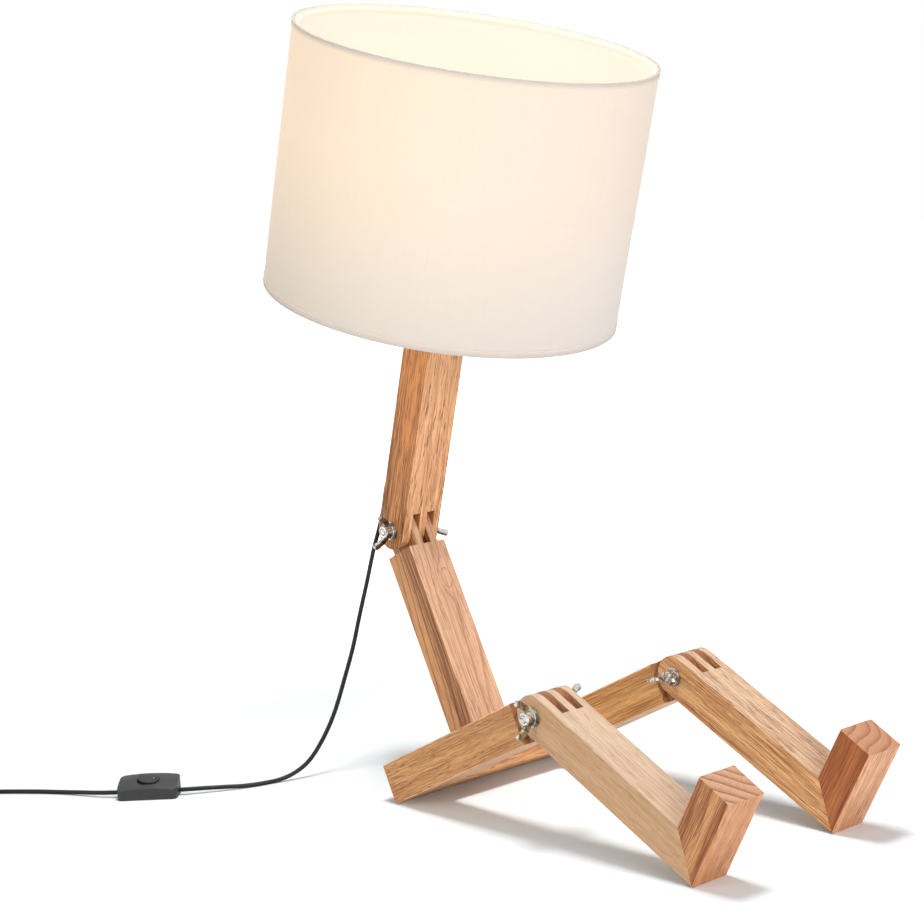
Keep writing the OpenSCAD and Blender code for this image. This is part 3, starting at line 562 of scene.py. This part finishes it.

# ---------------------------------------------------------------------------------------
# Rim tapes. A narrow cotton tape is folded 4.5 mm over each rim and glued. Outside, it
# glows like the cloth at its cut edge and darkens towards the thick fold, which stays dull.
# The fold's face along the rim's edge is painted darker, as painted shade.
fold, between_folds = 4.5, 118.9
unlit = (0.02, 0.02, 0.02, 1)
tape = Finish("rim_tape_cotton", Specular_IOR_Level=0.15, Roughness=0.9, Emission_Strength=1.0)
tape_up, tape_round, tape_from_axis, _, tape_glow = lamplight(tape)
ribs = tape.cloud(tape.at(tape_round / 0.5, tape_up / 0.5, 1.0), 1, 2)
from_rim = ((shade_height / 2 - abs(tape_up - shade_middle)) / fold).held()
# The fold's face along the rim gives no light and is painted darker: painted shade.
rim_edge_shade = ((abs(tape.facing(up_torso)) - 0.6) * 4).held()
outer_tape = tape.mixed(from_rim, (0.05, 0.045, 0.04, 1), tape_glow)
tape_light = tape.mixed(tape_from_axis < between_folds, outer_tape, (0.44, 0.42, 0.36, 1))
cotton = tape.toned(ribs, (204, 194, 186), (188, 178, 170))
dressed(["shade_rim_tapes"], tape.wear(base=tape.mixed(rim_edge_shade, cotton, paint(168, 160, 146)),
    height=ribs, depth=0.12, Emission_Color=tape.mixed(rim_edge_shade, tape_light, unlit)))

# ---------------------------------------------------------------------------------------
# Upper wire. A bent wire hoop in the hem of the upper rim, bound with the same cotton tape
# and lit by the bulb below it.
binding = Finish("bound_wire_cotton", Specular_IOR_Level=0.15, Roughness=0.9, Emission_Strength=1.0)
bound = binding.cloud(binding.in_mm(), 0.7, 2)
dressed(["shade_top_wire"], binding.wear(base=binding.toned(bound, (150, 142, 124), (132, 124, 106)),
    height=bound, depth=0.1,
    Emission_Color=binding.mixed(bound, (0.70, 0.68, 0.59, 1), (0.64, 0.62, 0.54, 1))))

# ---------------------------------------------------------------------------------------
# Cord switch. Two shells of dark grey thermoplastic with a fine spark-eroded grain, held
# by two small screws from below, and a glossier rocker with a round dish in its end.
shell = Finish("switch_thermoplastic", Specular_IOR_Level=0.4)
spark = shell.cloud(shell.in_mm(), 0.4, 2)
shell_tone = shell.cloud(shell.in_mm(), 10, 2)
dressed(["switch_base", "switch_cover"], shell.wear(base=shell.toned(shell_tone, (40, 40, 42), (50, 50, 51)),
    rough=0.4 + 0.2 * spark, height=spark, depth=0.09))
dressed(["switch_rocker"], skin("rocker_thermoplastic", ((16, 16, 17), (26, 26, 27)), rough=(0.34, 0.5),
    patch=(4, 2), depth=0.06))
dressed(["switch_screws"], metal("small_screw_steel", (196, 194, 188), (150, 148, 142), 0.34))

# ---------------------------------------------------------------------------------------
# Plug and tie. A flat two-pin plug moulded on the cord's end, with nickel-plated pins, and
# a band of black coated wire round the coil.
dressed(["plug_body"], skin("plug_thermoplastic", ((28, 28, 29), (40, 40, 41)), rough=(0.42, 0.62),
    patch=(12, 2), grain=(0.5, 2), depth=0.07, Specular_IOR_Level=0.4))
dressed(["plug_pins"], metal("pin_nickel", (220, 216, 206), (184, 178, 166), 0.2))
dressed(["coil_tie"], skin("coated_wire_band", ((26, 26, 27), (44, 44, 45)), rough=(0.4, 0.6),
    patch=(3, 2), depth=0.1, Specular_IOR_Level=0.45))

# ---------------------------------------------------------------------------------------
# Studio. A white floor that runs on into a white surround. A soft lamp high above the legs
# throws their shadows straight down, and two broad ones light the front and the side.
paper = bpy.data.materials.new("white_paper_floor")
paper.use_nodes = True
floor_look = Nodes(paper.node_tree, "ShaderNodeOutputMaterial")


def in_view(nodes):
    """1 where the camera looks, straight, in a mirror or through glass, and 0 for other light."""
    seen, mirrored, through = (nodes.node("ShaderNodeLightPath", out=f"Is {kind} Ray")
        for kind in ("Camera", "Glossy", "Transmission"))
    return (seen + mirrored + through).held()


# Beyond the shadows, the paper shows as pure white.
shadows_reach, whitens_over = 0.38, 0.5
from_middle = floor_look.vector_math("LENGTH", floor_look.node("ShaderNodeTexCoord", out="Object"))
beyond = ((from_middle - shadows_reach) / whitens_over).held()
plain = floor_look.node("ShaderNodeBsdfDiffuse", None, {"Color": (0.84, 0.88, 0.90, 1)})
lifted = floor_look.node("ShaderNodeEmission", None,
    {"Color": (1, 1, 1, 1), "Strength": (0.02 + beyond) * in_view(floor_look)})
floor_look.show(floor_look.node("ShaderNodeAddShader", None, [plain, lifted]))
ground = bpy.data.meshes.new("floor")
ground.from_pydata([(-9, -9, 0), (9, -9, 0), (9, 9, 0), (-9, 9, 0)], [], [(0, 1, 2, 3)])
ground.materials.append(paper)
floor = bpy.data.objects.new("floor", ground)
bpy.context.scene.collection.objects.link(floor)

surround = bpy.data.worlds.new("surround")
surround.use_nodes = True
bpy.context.scene.world = surround
room_light = 0.36
sky = Nodes(surround.node_tree, "ShaderNodeOutputWorld")
sky.show(sky.node("ShaderNodeBackground", None,
    {"Color": (1, 1, 1, 1), "Strength": room_light + (1 - room_light) * in_view(sky)}))


def studio_lamp(name, place, aim, width, watts):
    """A round soft lamp of that width, turned towards what it lights."""
    light = bpy.data.lights.new(name, "AREA")
    light.shape, light.size, light.energy = "DISK", width, watts
    lamp = bpy.data.objects.new(name, light)
    lamp.location = place
    lamp.rotation_euler = (Vector(aim) - Vector(place)).to_track_quat("-Z", "Y").to_euler()
    bpy.context.scene.collection.objects.link(lamp)
    return lamp


overhead = studio_lamp("overhead_lamp", (0.03, -0.02, 1.5), (0.03, -0.02, 0), 0.42, 16)
# Its light passes through the drum and what is in it, which throw no shadow in the picture.
let_past = bpy.data.collections.new("passed_by_overhead_lamp")
for name in ("shade_skin", "shade_rim_tapes", "shade_low_wire", "shade_top_wire", "shade_spider",
        "shade_clamp_ring", "holder_sleeve", "holder_cap", "bulb_globe", "bulb_cap"):
    let_past.objects.link(frame["nodes"][name])
for member in let_past.collection_objects:
    member.light_linking.link_state = "EXCLUDE"
overhead.light_linking.blocker_collection = let_past
studio_lamp("front_lamp", (2.2, -0.5, 0.9), (0, 0, 0.25), 1.2, 26)
studio_lamp("side_lamp", (-0.6, -2.4, 1.1), (0, 0, 0.25), 1.4, 15)
